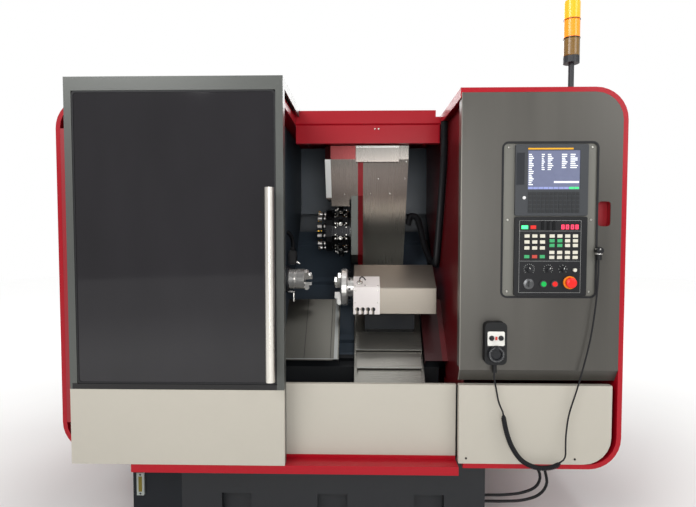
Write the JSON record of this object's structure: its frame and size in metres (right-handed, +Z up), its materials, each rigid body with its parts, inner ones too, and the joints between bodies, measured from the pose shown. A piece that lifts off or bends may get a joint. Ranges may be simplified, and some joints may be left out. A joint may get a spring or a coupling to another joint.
{
  "type": "cnc turning lathe",
  "caption": "Enclosed slant-bed turning lathe with turret, second spindle, sliding door, control panel and signal lamp.",
  "frame": {"origin": "on the floor, at the middle of the machine's outer box", "axes": "+X to the right of a person who faces the machine, +Y to the back, +Z up"},
  "size_m": [2.39, 1.62, 2.33],
  "materials": {
    "red_paint": "gloss paint",
    "warm_grey_paint": "satin paint",
    "door_grey_paint": "satin paint",
    "cream_paint": "satin paint",
    "pale_plate": "satin paint",
    "black_coat": "matt black coat",
    "slate_paint": "dark slate paint on cast iron",
    "blue_grey_wall": "satin paint",
    "smoked_window": "dark smoked safety glass",
    "brushed_stainless": "brushed stainless sheet",
    "blackened_steel": "blackened and oiled",
    "ground_steel": "ground bright steel",
    "satin_tube": "satin",
    "black_rubber": "matt black",
    "knob_grey": "dark grey plastic",
    "green_plastic": "green plastic",
    "red_plastic": "red plastic",
    "yellow_plastic": "yellow plastic",
    "amber_lens": "clear amber plastic"
  },
  "bodies": {
    "machine": {"machine_bed": "slate_paint", "coolant_tank": "slate_paint", "left_end_housing": "red_paint", "right_end_housing": "red_paint", "rear_roof": "red_paint", "back_panel": "warm_grey_paint", "back_inner_wall": "blue_grey_wall", "left_inner_wall": "blue_grey_wall", "right_inner_wall": "blue_grey_wall", "left_way_guard": "brushed_stainless", "chip_trough": "black_coat", "door_upper_track": "brushed_stainless", "door_shelf": "red_paint", "cabinet_front_panel": "warm_grey_paint", "cabinet_lower_panel": "cream_paint", "middle_lower_panel": "cream_paint", "main_headstock": "black_coat", "control_plate": "pale_plate", "display_unit": "black_coat", "operation_panel": "black_coat", "pendant_body": "black_coat", "cord_connector": "black_coat", "pendant_cord_upper": "black_rubber", "pendant_cord_coil": "black_rubber", "pendant_cord_lower": "black_rubber", "machine_cable_1": "black_rubber", "machine_cable_2": "black_rubber", "turret_hose": "black_rubber", "lamp_post": "black_coat", "lamp_lenses": "amber_lens"},
    "door": {"door_frame": "door_grey_paint", "door_window": "smoked_window", "door_lower_panel": "cream_paint", "door_handle": "satin_tube"},
    "rear_door": {"rear_cabinet_door": "warm_grey_paint"},
    "main_spindle": {"main_chuck": "ground_steel"},
    "main_jaw_1": {"main_jaw_1": "ground_steel"},
    "main_jaw_2": {"main_jaw_2": "ground_steel"},
    "main_jaw_3": {"main_jaw_3": "ground_steel"},
    "turret_saddle": {"turret_saddle": "black_coat"},
    "turret_slide": {"turret_column": "brushed_stainless"},
    "turret_disc": {"turret_disc": "blackened_steel"},
    "sub_saddle": {"sub_saddle": "black_coat"},
    "sub_slide": {"sub_headstock": "slate_paint", "sub_cover": "brushed_stainless", "sub_front_plate": "pale_plate", "way_cover_1": "brushed_stainless"},
    "way_cover_2": {"way_cover_2": "brushed_stainless"},
    "sub_spindle": {"sub_chuck": "ground_steel"},
    "sub_jaw_1": {"sub_jaw_1": "ground_steel"},
    "sub_jaw_2": {"sub_jaw_2": "ground_steel"},
    "sub_jaw_3": {"sub_jaw_3": "ground_steel"},
    "start_button": {"start_button": "green_plastic"},
    "stop_button": {"stop_button": "red_plastic"},
    "estop_button": {"estop_button": "red_plastic"},
    "spindle_knob": {"spindle_knob": "knob_grey"},
    "feed_knob": {"feed_knob": "knob_grey"},
    "rapid_knob": {"rapid_knob": "knob_grey"},
    "key_switch": {"key_switch": "satin_tube"},
    "pendant_wheel": {"pendant_wheel": "knob_grey"}
  },
  "joints": [
    {"name": "door_slide", "type": "slide", "parent": "machine", "child": "door", "axis": [1, 0, 0], "range_m": [0, 0.7]},
    {"name": "rear_door_hinge", "type": "hinge", "parent": "machine", "child": "rear_door", "pos_m": [-0.1, 0.81, 1.1], "axis": [0, 0, 1], "range_deg": [0, 110]},
    {"name": "main_spindle_spin", "type": "hinge", "parent": "machine", "child": "main_spindle", "pos_m": [-0.162, -0.105, 1.045], "axis": [1, 0, 0], "continuous": true},
    {"name": "main_jaw_1_slide", "type": "slide", "parent": "main_spindle", "child": "main_jaw_1", "axis": [0, -0.7071, 0.7071], "range_m": [-0.003, 0.003]},
    {"name": "main_jaw_2_slide", "type": "slide", "parent": "main_spindle", "child": "main_jaw_2", "axis": [0, -0.2588, -0.9659], "range_m": [-0.003, 0.003]},
    {"name": "main_jaw_3_slide", "type": "slide", "parent": "main_spindle", "child": "main_jaw_3", "axis": [0, 0.9659, 0.2588], "range_m": [-0.003, 0.003]},
    {"name": "turret_saddle_slide", "type": "slide", "parent": "machine", "child": "turret_saddle", "axis": [1, 0, 0], "range_m": [-0.14, 0]},
    {"name": "turret_cross_slide", "type": "slide", "parent": "turret_saddle", "child": "turret_slide", "axis": [0, 0.7071, 0.7071], "range_m": [-0.09, 0]},
    {"name": "turret_index", "type": "hinge", "parent": "turret_slide", "child": "turret_disc", "pos_m": [0, 0.14503, 1.29503], "axis": [1, 0, 0], "continuous": true},
    {"name": "sub_saddle_slide", "type": "slide", "parent": "machine", "child": "sub_saddle", "axis": [1, 0, 0], "range_m": [-0.08, 0]},
    {"name": "sub_cross_slide", "type": "slide", "parent": "sub_saddle", "child": "sub_slide", "axis": [0, 0.7071, 0.7071], "range_m": [0, 0.055]},
    {"name": "way_cover_2_slide", "type": "slide", "parent": "sub_saddle", "child": "way_cover_2", "axis": [0, 0.7071, 0.7071], "range_m": [0, 0.0275]},
    {"name": "sub_spindle_spin", "type": "hinge", "parent": "sub_slide", "child": "sub_spindle", "pos_m": [0.028, -0.14389, 1.00611], "axis": [1, 0, 0], "continuous": true},
    {"name": "sub_jaw_1_slide", "type": "slide", "parent": "sub_spindle", "child": "sub_jaw_1", "axis": [0, -0.7071, 0.7071], "range_m": [-0.004, 0.004]},
    {"name": "sub_jaw_2_slide", "type": "slide", "parent": "sub_spindle", "child": "sub_jaw_2", "axis": [0, -0.2588, -0.9659], "range_m": [-0.004, 0.004]},
    {"name": "sub_jaw_3_slide", "type": "slide", "parent": "sub_spindle", "child": "sub_jaw_3", "axis": [0, 0.9659, 0.2588], "range_m": [-0.004, 0.004]},
    {"name": "start_button_press", "type": "slide", "parent": "machine", "child": "start_button", "axis": [0, 1, 0], "range_m": [0, 0.003], "stiffness_N_per_m": 400, "springref_m": -0.002},
    {"name": "stop_button_press", "type": "slide", "parent": "machine", "child": "stop_button", "axis": [0, 1, 0], "range_m": [0, 0.003], "stiffness_N_per_m": 400, "springref_m": -0.002},
    {"name": "estop_button_press", "type": "slide", "parent": "machine", "child": "estop_button", "axis": [0, 1, 0], "range_m": [0, 0.004], "stiffness_N_per_m": 1500, "springref_m": -0.002},
    {"name": "spindle_knob_turn", "type": "hinge", "parent": "machine", "child": "spindle_knob", "pos_m": [0.808, -0.7133, 1.142], "axis": [0, 1, 0], "range_deg": [-135, 135]},
    {"name": "feed_knob_turn", "type": "hinge", "parent": "machine", "child": "feed_knob", "pos_m": [0.8834, -0.7133, 1.142], "axis": [0, 1, 0], "range_deg": [-135, 135]},
    {"name": "rapid_knob_turn", "type": "hinge", "parent": "machine", "child": "rapid_knob", "pos_m": [0.9424, -0.7133, 1.142], "axis": [0, 1, 0], "range_deg": [-60, 60]},
    {"name": "key_switch_turn", "type": "hinge", "parent": "machine", "child": "key_switch", "pos_m": [0.8067, -0.7133, 1.0825], "axis": [0, 1, 0], "range_deg": [0, 90]},
    {"name": "pendant_wheel_spin", "type": "hinge", "parent": "machine", "child": "pendant_wheel", "pos_m": [0.67, -0.7476, 0.804], "axis": [0, 1, 0], "continuous": true}
  ],
  "couplings": [
    {"joint": "main_jaw_2_slide", "follows": "main_jaw_1_slide", "ratio": 1},
    {"joint": "main_jaw_3_slide", "follows": "main_jaw_1_slide", "ratio": 1},
    {"joint": "sub_jaw_2_slide", "follows": "sub_jaw_1_slide", "ratio": 1},
    {"joint": "sub_jaw_3_slide", "follows": "sub_jaw_1_slide", "ratio": 1},
    {"joint": "way_cover_2_slide", "follows": "sub_cross_slide", "ratio": 0.5}
  ]
}
